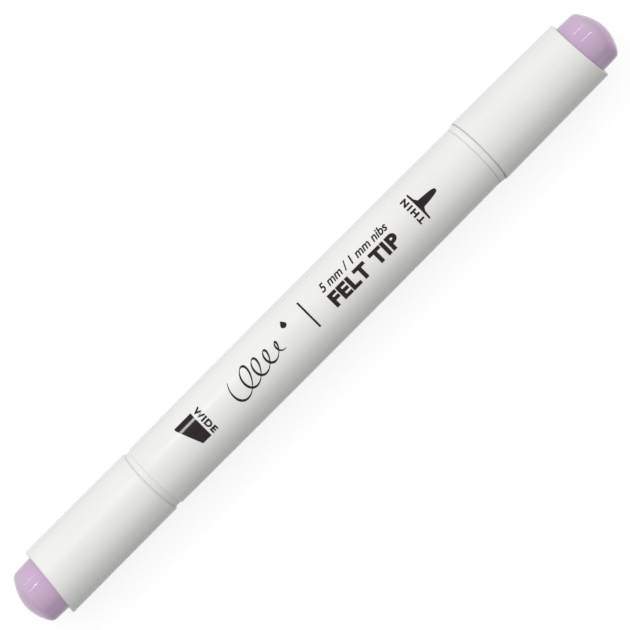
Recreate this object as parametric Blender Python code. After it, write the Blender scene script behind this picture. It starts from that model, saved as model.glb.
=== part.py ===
"""Twin-tip felt marker: one barrel, one ink reservoir, a broad chisel nib at the -X end and a
fine bullet nib at the +X end, each under its own pull-off cap with a coloured end plug.

The marker lies on its side, +X towards the fine end and +Z towards the printed side.  Each end
is modelled pointing along its own +X and then turned into place by a parent empty, so both
ends share the same functions.  All lengths are metres.
"""
import math

import bmesh
import bpy
from mathutils import Matrix, Vector

MM = 0.001

# How finely round pieces are drawn, and the gap left between pieces that touch.
SIDES = 32
CROWN_STEPS = 10
DOME_STEPS = 5
GAP = 0.3 * MM

# Barrel: a slightly crowned tube, open at both ends.
BARREL_LENGTH = 82.4 * MM
BARREL_BORE_RADIUS = 5.9 * MM
BARREL_BROAD_WALL = 0.95 * MM
BARREL_MIDDLE_WALL = 1.06 * MM
BARREL_FINE_WALL = 0.90 * MM
BARREL_EDGE = 0.25 * MM

# Nib holders: a spigot in the barrel, a band that shows between barrel and cap, a seat for the
# cap's mouth and a neck with a bead that the cap liner seals on.
BAND_WIDTH = 0.75 * MM
BROAD_BAND_SINK = 0.24 * MM
FINE_BAND_FLARE = 0.20 * MM
SPIGOT_LENGTH = 8.5 * MM
SPIGOT_WALL = 0.9 * MM
CAP_SEAT_LENGTH = 0.75 * MM
NECK_LENGTH = 7.0 * MM
NECK_WALL = 0.9 * MM
NECK_CLEARANCE = 0.45 * MM
BEAD_HEIGHT = 0.2 * MM
BEAD_LENGTH = 0.9 * MM

# Broad end: a short nose round a flat felt bar cut to a chisel.
BROAD_NOSE_LENGTH = 3.0 * MM
BROAD_NOSE_TAPER = 0.3 * MM
BROAD_NIB_WIDTH = 5.2 * MM
BROAD_NIB_THICKNESS = 2.8 * MM
BROAD_NIB_REACH = 5.6 * MM
CHISEL_DROP = 3.0 * MM
NOSE_WALL = 2.0 * MM

# Fine end: a cone and a slim tube round a fibre rod with a rounded tip.
FINE_CONE_LENGTH = 3.0 * MM
FINE_TUBE_LENGTH = 3.0 * MM
FINE_TUBE_WALL = 0.7 * MM
FINE_TUBE_TAPER = 0.4 * MM
FINE_NIB_RADIUS = 1.1 * MM
FINE_NIB_REACH = 2.6 * MM
FINE_TIP_ROUND = 1.8 * MM

# Ink reservoir: a fibre core in a film sleeve, with a pocket in each end for a nib's tail.
SLEEVE_CLEARANCE = 0.5 * MM
SLEEVE_WALL = 0.25 * MM
POCKET_DEPTH = 5.0 * MM

# Caps: a tapered shell whose closed end is cut at a slant, a straight liner that seals on the
# neck, and a domed end plug that stops on a ledge in the shell and stands out of its rim.
CAP_LENGTH = 26.3 * MM
BROAD_CAP_MOUTH_WALL = 1.07 * MM
BROAD_CAP_END_WALL = 0.95 * MM
FINE_CAP_MOUTH_WALL = 1.25 * MM
FINE_CAP_END_WALL = 0.80 * MM
BROAD_MOUTH_EDGE = 0.35 * MM
FINE_MOUTH_EDGE = 0.12 * MM
CAP_RIM_EDGE = 0.15 * MM
CAP_RIM_TILT = math.radians(14.0)
LINER_WALL = 0.8 * MM
PLUG_LEDGE = 0.2 * MM
PLUG_HOLD = 4.65 * MM
PLUG_DRAFT = 0.135 * MM
PLUG_STAND_OUT = 4.05 * MM
PLUG_DOME_HEIGHT = 2.1 * MM
PLUG_WALL = 1.0 * MM
PLUG_TILT = math.radians(8.0)

# The way each cap is turned at rest: where its rim's short side points, from +Z towards +Y.
BROAD_CAP_LEAN = math.radians(20.0)
FINE_CAP_LEAN = math.radians(10.0)

# Distances from the middle of the barrel, out along either end.
BARREL_END = BARREL_LENGTH / 2
BAND_START = BARREL_END + GAP
BAND_END = BAND_START + BAND_WIDTH
CAP_MOUTH = BAND_END + GAP
CAP_SEAT_END = BAND_END + CAP_SEAT_LENGTH
NECK_END = CAP_SEAT_END + NECK_LENGTH
SPIGOT_START = BARREL_END - SPIGOT_LENGTH
CORE_END = SPIGOT_START - GAP
TAIL_END = CORE_END - POCKET_DEPTH + GAP
CAP_RIM = CAP_MOUTH + CAP_LENGTH
LINER_START = CAP_SEAT_END + GAP
LINER_END = CAP_RIM - PLUG_HOLD
PLUG_START = LINER_END + GAP
PLUG_EDGE = CAP_RIM + PLUG_STAND_OUT

# Radii, each from what it fits: the neck clears the broad nib's corners, the liner slides over
# the neck's bead, and the shell goes round the liner and the plug.
NECK_BORE_RADIUS = math.hypot(BROAD_NIB_WIDTH / 2, BROAD_NIB_THICKNESS / 2) + NECK_CLEARANCE
NECK_RADIUS = NECK_BORE_RADIUS + NECK_WALL
BEAD_RADIUS = NECK_RADIUS + BEAD_HEIGHT
LINER_BORE_RADIUS = BEAD_RADIUS + GAP
LINER_RADIUS = LINER_BORE_RADIUS + LINER_WALL
CAP_BORE_RADIUS = LINER_RADIUS + GAP
CAP_SEAT_RADIUS = CAP_BORE_RADIUS - GAP
PLUG_BORE_RADIUS = CAP_BORE_RADIUS + PLUG_LEDGE
PLUG_RADIUS = PLUG_BORE_RADIUS - GAP
BROAD_CAP_MOUTH_RADIUS = CAP_BORE_RADIUS + BROAD_CAP_MOUTH_WALL
BROAD_CAP_END_RADIUS = PLUG_BORE_RADIUS + BROAD_CAP_END_WALL
FINE_CAP_MOUTH_RADIUS = CAP_BORE_RADIUS + FINE_CAP_MOUTH_WALL
FINE_CAP_END_RADIUS = PLUG_BORE_RADIUS + FINE_CAP_END_WALL
FINE_HOLE_RADIUS = FINE_NIB_RADIUS + GAP
SPIGOT_RADIUS = BARREL_BORE_RADIUS - GAP
SLEEVE_RADIUS = BARREL_BORE_RADIUS - SLEEVE_CLEARANCE
CORE_RADIUS = SLEEVE_RADIUS - SLEEVE_WALL - GAP
BARREL_BROAD_RADIUS = BARREL_BORE_RADIUS + BARREL_BROAD_WALL
BARREL_MIDDLE_RADIUS = BARREL_BORE_RADIUS + BARREL_MIDDLE_WALL
BARREL_FINE_RADIUS = BARREL_BORE_RADIUS + BARREL_FINE_WALL
BROAD_BAND_RADIUS = BARREL_BROAD_RADIUS - BROAD_BAND_SINK

# The marker rests on the lowest facet of its widest piece.
LARGEST_RADIUS = max(BARREL_MIDDLE_RADIUS, BROAD_CAP_MOUTH_RADIUS, BROAD_CAP_END_RADIUS,
                     FINE_CAP_MOUTH_RADIUS, FINE_CAP_END_RADIUS)
AXIS_HEIGHT = LARGEST_RADIUS * math.cos(math.pi / SIDES)


# ---- materials -------------------------------------------------------------------------------

def plastic(name, colour, roughness):
    """A plain opaque plastic or fibre."""
    material = bpy.data.materials.new(name)
    material.use_nodes = True
    shader = material.node_tree.nodes["Principled BSDF"]
    shader.inputs["Base Color"].default_value = (*colour, 1.0)
    shader.inputs["Roughness"].default_value = roughness
    shader.inputs["Metallic"].default_value = 0.0
    return material


# ---- shapes ----------------------------------------------------------------------------------

def new_object(name, mesh, material, parent):
    piece = bpy.data.objects.new(name, mesh)
    bpy.context.scene.collection.objects.link(piece)
    mesh.materials.append(material)
    mesh.shade_smooth()
    mesh.set_sharp_from_angle(angle=math.radians(25))
    piece.parent = parent
    return piece


def turned_mesh(name, outline, closed):
    """Spin an outline of (distance along X, radius) points once round the X axis.

    A closed outline is a ring's section; an open one starts and ends on the axis.
    """
    shape = bmesh.new()
    corners = [shape.verts.new((x, 0.0, radius)) for x, radius in outline]
    pairs = list(zip(corners, corners[1:]))
    if closed:
        pairs.append((corners[-1], corners[0]))
    edges = [shape.edges.new(pair) for pair in pairs]
    half_facet = Matrix.Rotation(math.pi / SIDES, 3, "X")
    bmesh.ops.rotate(shape, cent=(0, 0, 0), matrix=half_facet, verts=corners)
    bmesh.ops.spin(shape, geom=corners + edges, cent=(0, 0, 0), axis=(1, 0, 0),
                   angle=2 * math.pi, steps=SIDES)
    bmesh.ops.remove_doubles(shape, verts=shape.verts, dist=1e-6)
    bmesh.ops.recalc_face_normals(shape, faces=shape.faces)
    mesh = bpy.data.meshes.new(name)
    shape.to_mesh(mesh)
    shape.free()
    return mesh


def turned(name, outline, material, parent, closed=True):
    return new_object(name, turned_mesh(name, outline, closed), material, parent)


def slant_end(mesh, start, tilt, lean):
    """Shift every point beyond start along X, so that a square end becomes a slanted flat one.

    Lean is the direction of the slant's short side, from +Z towards +Y.
    """
    for vertex in mesh.vertices:
        if vertex.co.x > start:
            towards_short_side = vertex.co.z * math.cos(lean) + vertex.co.y * math.sin(lean)
            vertex.co.x -= math.tan(tilt) * towards_short_side


def cutter(name, mesh, parent):
    """A guide shape that is only used to cut another piece."""
    guide = bpy.data.objects.new(name, mesh)
    bpy.context.scene.collection.objects.link(guide)
    guide.hide_render = True
    guide.display_type = "WIRE"
    guide.parent = parent
    return guide


def cut(piece, guide):
    modifier = piece.modifiers.new("cut_" + guide.name, "BOOLEAN")
    modifier.operation = "DIFFERENCE"
    modifier.object = guide


def bar_mesh(name, start, end, width, thickness):
    """A rectangular bar along X, its width along Y and its thickness along Z."""
    shape = bmesh.new()
    place = Matrix.LocRotScale(Vector(((start + end) / 2, 0, 0)), None,
                               Vector((end - start, width, thickness)))
    bmesh.ops.create_cube(shape, size=1.0, matrix=place)
    mesh = bpy.data.meshes.new(name)
    shape.to_mesh(mesh)
    shape.free()
    return mesh


# ---- barrel and reservoir --------------------------------------------------------------------

def barrel_radius(x):
    """The crowned outside: widest in the middle and falling as a parabola to each end."""
    end_radius = BARREL_FINE_RADIUS if x > 0 else BARREL_BROAD_RADIUS
    return BARREL_MIDDLE_RADIUS - (BARREL_MIDDLE_RADIUS - end_radius) * (x / BARREL_END) ** 2


def make_barrel(material, marker):
    shoulder = BARREL_END - BARREL_EDGE
    stations = [shoulder * (2 * step / CROWN_STEPS - 1) for step in range(CROWN_STEPS + 1)]
    outside = [(x, barrel_radius(x)) for x in stations]
    outline = [(-BARREL_END, BARREL_BORE_RADIUS),
               (-BARREL_END, BARREL_BROAD_RADIUS - BARREL_EDGE),
               *outside,
               (BARREL_END, BARREL_FINE_RADIUS - BARREL_EDGE),
               (BARREL_END, BARREL_BORE_RADIUS)]
    turned("barrel_tube", outline, material, marker)


def make_reservoir(core_material, film_material, marker):
    """The ink-holding fibre core, pocketed for the two nib tails, in its film sleeve."""
    outline = [(-CORE_END, 0), (-CORE_END, CORE_RADIUS), (CORE_END, CORE_RADIUS), (CORE_END, 0)]
    core = turned("ink_reservoir_core", outline, core_material, marker, closed=False)

    pocket_floor = CORE_END - POCKET_DEPTH
    past_the_end = CORE_END + POCKET_DEPTH
    broad_pocket = bar_mesh("broad_pocket", -past_the_end, -pocket_floor,
                            BROAD_NIB_WIDTH + 2 * GAP, BROAD_NIB_THICKNESS + 2 * GAP)
    fine_pocket = turned_mesh("fine_pocket", [(pocket_floor, 0), (pocket_floor, FINE_HOLE_RADIUS),
                                              (past_the_end, FINE_HOLE_RADIUS), (past_the_end, 0)],
                              closed=False)
    cut(core, cutter("broad_pocket", broad_pocket, marker))
    cut(core, cutter("fine_pocket", fine_pocket, marker))

    inside = SLEEVE_RADIUS - SLEEVE_WALL
    turned("reservoir_film_sleeve", [(-CORE_END, inside), (-CORE_END, SLEEVE_RADIUS),
                                     (CORE_END, SLEEVE_RADIUS), (CORE_END, inside)],
           film_material, marker)


# ---- the two nib holders and nibs --------------------------------------------------------------

def holder_root(band_inner_edge, band_outer_edge):
    """Outline of what both holders share: spigot, band, cap seat and beaded neck."""
    bead_start = (CAP_SEAT_END + NECK_END - BEAD_LENGTH) / 2
    bead_end = bead_start + BEAD_LENGTH
    return [(BAND_START, NECK_BORE_RADIUS),
            (BAND_START, SPIGOT_RADIUS - SPIGOT_WALL),
            (SPIGOT_START, SPIGOT_RADIUS - SPIGOT_WALL),
            (SPIGOT_START, SPIGOT_RADIUS),
            (BAND_START, SPIGOT_RADIUS),
            (BAND_START, band_inner_edge),
            (BAND_END, band_outer_edge),
            (BAND_END, CAP_SEAT_RADIUS),
            (CAP_SEAT_END, CAP_SEAT_RADIUS),
            (CAP_SEAT_END, NECK_RADIUS),
            (bead_start, NECK_RADIUS),
            (bead_start + BEAD_HEIGHT, BEAD_RADIUS),
            (bead_end - BEAD_HEIGHT, BEAD_RADIUS),
            (bead_end, NECK_RADIUS),
            (NECK_END, NECK_RADIUS)]


def make_broad_end(holder_material, nib_material, end):
    nose_end = NECK_END + BROAD_NOSE_LENGTH
    bore_end = nose_end - NOSE_WALL
    outline = holder_root(BROAD_BAND_RADIUS, BROAD_BAND_RADIUS)
    outline += [(nose_end, NECK_RADIUS - BROAD_NOSE_TAPER), (nose_end, 0),
                (bore_end, 0), (bore_end, NECK_BORE_RADIUS)]
    nose_hole = bar_mesh("broad_nib_hole", bore_end - NOSE_WALL, nose_end + NOSE_WALL,
                         BROAD_NIB_WIDTH + 2 * GAP, BROAD_NIB_THICKNESS + 2 * GAP)
    holder = turned("broad_nib_holder", outline, holder_material, end)
    cut(holder, cutter("broad_nib_hole", nose_hole, end))

    tip = nose_end + BROAD_NIB_REACH
    nib = bar_mesh("broad_chisel_nib", TAIL_END, tip, BROAD_NIB_WIDTH, BROAD_NIB_THICKNESS)
    for vertex in nib.vertices:
        if vertex.co.x > nose_end and vertex.co.y > 0:
            vertex.co.x -= CHISEL_DROP
    new_object("broad_chisel_nib", nib, nib_material, end)


def rounded_tip(start, length, radius):
    """Half an ellipse from the rod's side to the axis, as (distance, radius) points."""
    angles = [math.pi / 2 * step / DOME_STEPS for step in range(DOME_STEPS)]
    return [(start + length * math.sin(a), radius * math.cos(a)) for a in angles] + [
        (start + length, 0)]


def make_fine_end(holder_material, nib_material, end):
    cone_end = NECK_END + FINE_CONE_LENGTH
    tube_end = cone_end + FINE_TUBE_LENGTH
    tube_radius = FINE_HOLE_RADIUS + FINE_TUBE_WALL
    outline = holder_root(BARREL_FINE_RADIUS, BARREL_FINE_RADIUS + FINE_BAND_FLARE)
    outline += [(cone_end, tube_radius + FINE_TUBE_TAPER), (tube_end, tube_radius),
                (tube_end, FINE_HOLE_RADIUS), (NECK_END, FINE_HOLE_RADIUS),
                (NECK_END - SPIGOT_WALL, NECK_BORE_RADIUS)]
    turned("fine_nib_holder", outline, holder_material, end)

    tip = tube_end + FINE_NIB_REACH
    rod = [(TAIL_END, 0), (TAIL_END, FINE_NIB_RADIUS)]
    rod += rounded_tip(tip - FINE_TIP_ROUND, FINE_TIP_ROUND, FINE_NIB_RADIUS)
    turned("fine_bullet_nib", rod, nib_material, end, closed=False)


# ---- caps --------------------------------------------------------------------------------------

def make_cap(name, mouth_radius, end_radius, mouth_edge, lean, colours, end):
    """One cap: its straight liner, and the shell and end plug whose outer ends are slanted."""
    shell_material, liner_material, plug_material = colours
    liner_floor = LINER_END - LINER_WALL
    turned(name + "_liner", [(liner_floor, 0), (liner_floor, LINER_BORE_RADIUS),
                             (LINER_START, LINER_BORE_RADIUS), (LINER_START, LINER_RADIUS),
                             (LINER_END, LINER_RADIUS), (LINER_END, 0)],
           liner_material, end, closed=False)

    shell = turned_mesh(name + "_shell",
                        [(CAP_MOUTH, CAP_BORE_RADIUS),
                         (CAP_MOUTH, mouth_radius - mouth_edge),
                         (CAP_MOUTH + mouth_edge, mouth_radius),
                         (CAP_RIM - CAP_RIM_EDGE, end_radius),
                         (CAP_RIM, end_radius - CAP_RIM_EDGE),
                         (CAP_RIM, PLUG_BORE_RADIUS),
                         (LINER_END, PLUG_BORE_RADIUS),
                         (LINER_END, CAP_BORE_RADIUS)], closed=True)
    slant_end(shell, CAP_RIM - 2 * CAP_RIM_EDGE, CAP_RIM_TILT, lean)
    new_object(name + "_shell", shell, shell_material, end)

    top_radius = PLUG_RADIUS - PLUG_DRAFT
    inside = top_radius - PLUG_WALL
    dome = [(PLUG_EDGE + PLUG_DOME_HEIGHT * (1 - (step / DOME_STEPS) ** 2),
             top_radius * step / DOME_STEPS) for step in range(DOME_STEPS, -1, -1)]
    plug = turned_mesh(name + "_end_plug",
                       [(PLUG_EDGE - PLUG_WALL, 0), (PLUG_EDGE - PLUG_WALL, inside),
                        (PLUG_START, inside), (PLUG_START, PLUG_RADIUS),
                        (CAP_RIM, PLUG_RADIUS), *dome], closed=False)
    slant_end(plug, PLUG_EDGE - 2 * PLUG_WALL, PLUG_TILT, lean)
    new_object(name + "_end_plug", plug, plug_material, end)


# ---- assembly ----------------------------------------------------------------------------------

def axis_empty(name, parent, turn=0.0):
    """An empty on the marker's axis, which its pieces are built along."""
    empty = bpy.data.objects.new(name, None)
    bpy.context.scene.collection.objects.link(empty)
    empty.parent = parent
    empty.rotation_euler.z = turn
    return empty


def main():
    for thing in list(bpy.data.objects):
        bpy.data.objects.remove(thing)

    white = plastic("white_gloss_plastic", (0.83, 0.83, 0.81), 0.25)
    lavender = plastic("lavender_plastic", (0.58, 0.43, 0.58), 0.25)
    natural = plastic("natural_plastic", (0.72, 0.73, 0.72), 0.45)
    film = plastic("clear_film", (0.78, 0.80, 0.82), 0.20)
    felt = plastic("inked_felt", (0.50, 0.36, 0.52), 0.95)
    fibre = plastic("inked_fibre", (0.60, 0.48, 0.62), 0.95)

    marker = axis_empty("marker_axis", None)
    marker.location = (0.0, 0.0, AXIS_HEIGHT)
    fine_end = axis_empty("fine_end_axis", marker)
    broad_end = axis_empty("broad_end_axis", marker, turn=math.pi)

    make_barrel(white, marker)
    make_reservoir(fibre, film, marker)
    make_broad_end(white, felt, broad_end)
    make_fine_end(white, felt, fine_end)
    cap_colours = (white, natural, lavender)
    # The broad end is turned half round, so its lean has the other sign in its own frame.
    make_cap("broad_cap", BROAD_CAP_MOUTH_RADIUS, BROAD_CAP_END_RADIUS, BROAD_MOUTH_EDGE,
             -BROAD_CAP_LEAN, cap_colours, broad_end)
    make_cap("fine_cap", FINE_CAP_MOUTH_RADIUS, FINE_CAP_END_RADIUS, FINE_MOUTH_EDGE,
             FINE_CAP_LEAN, cap_colours, fine_end)


main()
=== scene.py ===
"""Felt tip marker with two ends: the looks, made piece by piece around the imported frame.

Each end is described along its own outward direction, with distances counted from the middle of
the barrel.  The broad end is turned half round about Z when it is put in place.  Lengths are
metres.
"""

import math

import bmesh
import bpy
from bpy.props import (FloatProperty, FloatVectorProperty, IntProperty, PointerProperty,
                       StringProperty)
from mathutils import Matrix, Vector


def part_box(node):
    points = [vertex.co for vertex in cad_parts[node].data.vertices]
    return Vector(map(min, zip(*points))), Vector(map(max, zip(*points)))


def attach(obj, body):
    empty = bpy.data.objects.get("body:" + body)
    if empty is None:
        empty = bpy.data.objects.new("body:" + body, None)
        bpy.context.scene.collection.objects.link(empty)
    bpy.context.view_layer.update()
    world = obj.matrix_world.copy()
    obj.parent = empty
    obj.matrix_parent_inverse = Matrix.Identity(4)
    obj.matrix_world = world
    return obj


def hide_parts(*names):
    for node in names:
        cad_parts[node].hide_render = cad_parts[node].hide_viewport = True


bl_info = {
    "name": "Twin Tip Marker",
    "version": (1, 0, 0),
    "blender": (4, 5, 0),
    "location": "View3D > Sidebar > Marker",
    "description": "Builds a double-ended felt tip marker, its caps, nibs and printed marks",
    "category": "Add Mesh",
}

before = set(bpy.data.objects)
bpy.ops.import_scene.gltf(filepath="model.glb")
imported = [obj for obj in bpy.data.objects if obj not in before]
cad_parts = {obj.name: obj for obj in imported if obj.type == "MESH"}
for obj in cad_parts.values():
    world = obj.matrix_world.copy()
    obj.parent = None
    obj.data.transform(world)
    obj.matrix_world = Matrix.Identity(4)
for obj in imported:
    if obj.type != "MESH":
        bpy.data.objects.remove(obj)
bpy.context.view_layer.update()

MM = 0.001


# ---- sizes taken from the frame ----------------------------------------------------------------

def reach(node):
    """Nearest and farthest distance of a node from the middle of the marker."""
    low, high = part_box(node)
    return sorted((abs(low.x), abs(high.x)))


def round_radius(node):
    """Radius of the widest circle that stays inside a round node's box."""
    low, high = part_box(node)
    return (high.y - low.y) / 2


AXIS_HEIGHT = (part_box("barrel_tube")[0].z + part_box("barrel_tube")[1].z) / 2
BARREL_END = reach("barrel_tube")[1]
BARREL_RADIUS = round_radius("barrel_tube")
BROAD_CAP_RADIUS = round_radius("broad_cap_shell")
FINE_CAP_RADIUS = round_radius("fine_cap_shell")
CAP_MOUTH = reach("fine_cap_shell")[0]
SPIGOT_START = reach("fine_nib_holder")[0]
TUBE_END = reach("fine_nib_holder")[1]
NOSE_END = reach("broad_nib_holder")[1]
LINER_START, LINER_END = reach("fine_cap_liner")
PLUG_START = reach("fine_cap_end_plug")[0]
TAIL_END, BROAD_TIP = reach("broad_chisel_nib")
FINE_TIP = reach("fine_bullet_nib")[1]
LINER_RADIUS = round_radius("fine_cap_liner")
PLUG_RADIUS = round_radius("broad_cap_end_plug")

FINE_END = Matrix.Translation((0, 0, AXIS_HEIGHT))
BROAD_END = FINE_END @ Matrix.Rotation(math.pi, 4, "Z")

# How finely round pieces are drawn: facets round the axis, steps in a rounded edge and along the
# barrel, and how far beyond a rounded edge the support point stands that keeps long faces flat.
SIDES = 128
ARC_STEPS = 5
CROWN_STEPS = 24
HOLD = 0.05 * MM
MERGE = 0.001 * MM
SHARP_EDGE = math.radians(40)

# Fits between pieces, closer than in the frame, as they are on the real thing.
PRESS_GAP = 0.05 * MM
BARREL_SEAM = 0.02 * MM
CAP_SEAM = 0.02 * MM
SLIDE_GAP = 0.22 * MM
INK_CLEARANCE = 0.004 * MM

# Barrel and nib holders.
BARREL_WALL = 1.05 * MM
SPIGOT_WALL = 0.9 * MM
SEAT_LENGTH = 0.75 * MM
SEAT_STEP = 0.28 * MM
NECK_LENGTH = 7.0 * MM
NECK_RADIUS = 4.28 * MM
NECK_WALL = 0.9 * MM
BEAD_HEIGHT = 0.2 * MM
BEAD_LENGTH = 0.9 * MM
NOSE_WALL = 2.0 * MM
NOSE_TAPER = 0.3 * MM
CONE_LENGTH = 3.0 * MM
TUBE_RADIUS = 2.09 * MM
TUBE_TAPER = 0.4 * MM
RIB_LENGTH = 2.0 * MM
RIB_HEIGHT = 0.16 * MM
RIB_GAP = 0.4 * MM
RIB_STATIONS, RIB_SIDES = 12, 14

# Nibs.
BROAD_NIB_WIDTH = 5.2 * MM
BROAD_NIB_THICKNESS = 2.8 * MM
BROAD_NIB_CORNER = 0.45 * MM
CHISEL_DROP = 3.0 * MM
FINE_NIB_RADIUS = 1.1 * MM
FINE_TIP_ROUND = 1.9 * MM
NIB_FIT = 0.1 * MM
TAIL_TAPER = 0.3 * MM
CHISEL_SOFT = 0.5 * MM
CHISEL_FLAT = 1.1 * MM

# Caps.
CAP_LENGTH = 26.3 * MM
LINER_WALL = 0.8 * MM
GROOVE_DEPTH = 0.12 * MM
GROOVE_HALF, GROOVE_FLOOR = 0.7 * MM, 0.5 * MM
RIM_ROUND = 0.16 * MM
PLUG_STAND_OUT = 4.05 * MM
PLUG_DRAFT = 0.13 * MM
PLUG_WALL = 1.0 * MM
PLUG_EDGE_ROUND = 1.5 * MM
DOME_STEPS, EDGE_STEPS = 26, 2
GATE_RADIUS = 0.7 * MM
GATE_DEPTH = 0.07 * MM

CAP_RIM = CAP_MOUTH + CAP_LENGTH
CAP_BORE = LINER_RADIUS + SLIDE_GAP
BAND_START = BARREL_END + BARREL_SEAM
BAND_END = CAP_MOUTH - CAP_SEAM
NECK_START = CAP_MOUTH + SEAT_LENGTH
NECK_END = NECK_START + NECK_LENGTH - 0.3 * MM
PLUG_EDGE = CAP_RIM + PLUG_STAND_OUT

# The words on the barrel: property, (length, height) and centre in millimetres, quarter turns,
# weight, spacing and slope.
WORDS = (("line", (16.6, 1.85), (12.3, 1.95), 0, 0.02, 1.0, 0.25),
         ("title", (16.6, 2.9), (12.3, -1.2), 0, 0.05, 1.08, 0.0),
         ("broad_word", (5.7, 1.35), (-27.05, 0.1), -1, 0.05, 1.2, 0.0),
         ("fine_word", (5.7, 1.35), (25.8, 0.1), 1, 0.05, 1.35, 0.0))

# Lights in metres and degrees.  A size is (length along the marker, width), an aim is a place
# along the marker, and a lean is from straight up towards +Y.  Each small lamp is given by its
# lean and by how far it stands out past its plug; the end boxes by (outward, +Y, up).
LIGHT_REACH = 0.5
WINDOW_SIZE, WINDOW_AIM, WINDOW_LEAN = (0.026, 0.06), -0.077, 33
CAP_WINDOW_SIZE, CAP_WINDOW_AIM, CAP_WINDOW_LEAN = (0.034, 0.14), -0.134, 24
CAP_WINDOW_SHARE = 1 / 6.5
PLUG_AIM = 0.072
LAMP_SIZE = (0.012, 0.004)
LAMPS = {-1: ((56, 0.2825), (22.6, 0.2700)), 1: ((53, 0.2847), (12, 0.2860))}
END_BOX_SIZE, END_BOX_REACH, END_BOX_SIDE = (0.5, 0.3), 0.6, (0.5, 0.45)
HORIZON = (0.0, 0.1)
BEHIND = 0.007
SHEET_HALF, SHEET_GLOW = 2.5, 0.81
EYE_SHIFT = (0.055 * MM, 0.231 * MM)

# Names of the finishes.
WHITE = "glossy white plastic"
HOLDER = "white holder plastic"
LAVENDER = "lavender plastic"
NATURAL = "milky liner plastic"
FELT = "inked felt"
FIBRE = "inked fibre core"
FILM = "clear film"
INK = "printed ink"
FLOOR = "pale floor"


# ---- what a user would change ------------------------------------------------------------------

def length(name, description, default):
    return FloatProperty(
        name=name, description=description, default=default, unit="LENGTH", precision=5)


def slope_angle(name, description, degrees):
    return FloatProperty(
        name=name, description=description, default=math.radians(degrees), subtype="ANGLE")


def colour(name, description, default):
    return FloatVectorProperty(
        name=name, description=description, default=default, subtype="COLOR")


def word(name, description, default):
    return StringProperty(name=name, description=description, default=default)


def number(name, description, default):
    return FloatProperty(name=name, description=description, default=default)


class MarkerSizes(bpy.types.PropertyGroup):
    """Outside sizes of the barrel, the caps and the print."""

    barrel_middle_radius: length(
        "Barrel Middle Radius", "Radius at the middle of the crowned barrel", BARREL_RADIUS)
    barrel_broad_radius: length(
        "Barrel Broad Radius", "Radius of the barrel at its broad end", BARREL_RADIUS - 0.11 * MM)
    barrel_fine_radius: length(
        "Barrel Fine Radius", "Radius of the barrel at its fine end", BARREL_RADIUS - 0.16 * MM)
    barrel_edge: length("Barrel Edge", "Rounding of the barrel's edges", 0.2 * MM)
    broad_band_radius: length(
        "Broad Band Radius", "Radius of the sunk band at the broad end", BARREL_RADIUS - 0.36 * MM)
    fine_band_flare: length(
        "Fine Band Flare", "How much the fine end's band widens to the cap", 0.2 * MM)
    broad_cap_mouth_radius: length(
        "Broad Cap Mouth Radius", "Radius of the broad cap at its mouth",
        BROAD_CAP_RADIUS - 0.08 * MM)
    broad_cap_end_radius: length(
        "Broad Cap End Radius", "Radius of the broad cap at its slanted rim", BROAD_CAP_RADIUS)
    broad_mouth_edge: length("Broad Mouth Edge", "Rounding of the broad cap's mouth", 0.35 * MM)
    fine_cap_mouth_radius: length(
        "Fine Cap Mouth Radius", "Radius of the fine cap at its mouth", FINE_CAP_RADIUS)
    fine_cap_end_radius: length(
        "Fine Cap End Radius", "Radius of the fine cap at its slanted rim",
        FINE_CAP_RADIUS - 0.25 * MM)
    fine_mouth_edge: length("Fine Mouth Edge", "Rounding of the fine cap's mouth", 0.12 * MM)
    rim_tilt: slope_angle("Rim Tilt", "Slant of the caps' rims", 14)
    plug_tilt: slope_angle("Plug Tilt", "Slant of the domed end plugs", 8)
    broad_lean: slope_angle(
        "Broad Cap Lean", "Where the broad rim's short side points, from +Z to +Y", 20)
    fine_lean: slope_angle(
        "Fine Cap Lean", "Where the fine rim's short side points, from +Z to +Y", 10)
    dome_height: length("Dome Height", "Height of the end plugs' domes", 2.1 * MM)
    ink_thickness: length("Ink Thickness", "Thickness of the printed marks", 0.01 * MM)
    rib_count: IntProperty(
        name="Neck Ribs", description="Number of small ribs round each neck", default=10, min=3)


class MarkerColours(bpy.types.PropertyGroup):
    """Colours of the finishes, as linear values."""

    white: colour("White", "Barrel and caps", (0.80, 0.80, 0.78))
    lavender: colour("Lavender", "End plugs", (0.57, 0.415, 0.585))
    liner: colour("Liner", "Cap liners", (0.70, 0.71, 0.70))
    ink: colour("Ink", "The colour held by the nibs and the core", (0.36, 0.21, 0.40))
    print: colour("Print", "Printed marks", (0.010, 0.003, 0.005))


class MarkerWords(bpy.types.PropertyGroup):
    """The plain words printed on the barrel."""

    title: word("Title", "The bold line", "FELT TIP")
    line: word("Line", "The small line above it", "5 mm / 1 mm nibs")
    broad_word: word("Broad Word", "The word by the broad nib's sign", "WIDE")
    fine_word: word("Fine Word", "The word by the fine nib's sign", "THIN")


class MarkerStage(bpy.types.PropertyGroup):
    """Light, floor and camera."""

    dome: number("Dome", "Strength of the half dome of soft light", 0.92)
    dome_lean: slope_angle("Dome Lean", "How far the half dome leans from +Z to +Y", 22.5)
    window: number("Window", "Radiance of the window over the chisel sign", 34.0)
    lamp: number("Lamps", "Radiance of the small lamps that the end plugs mirror", 180.0)
    end_box: number("End Boxes", "Radiance of the softboxes past the marker's ends", 0.7)
    distance: length("Distance", "From the marker's axis to the camera", 336 * MM)
    lens: number("Lens", "Focal length of the camera in millimetres", 104.84)
    elevation: slope_angle("Elevation", "Height of the camera above the horizon", 83.6)
    roll: slope_angle("Roll", "How far the marker is turned from level in the picture", 45.1)


# ---- node trees ------------------------------------------------------------------------------

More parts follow.
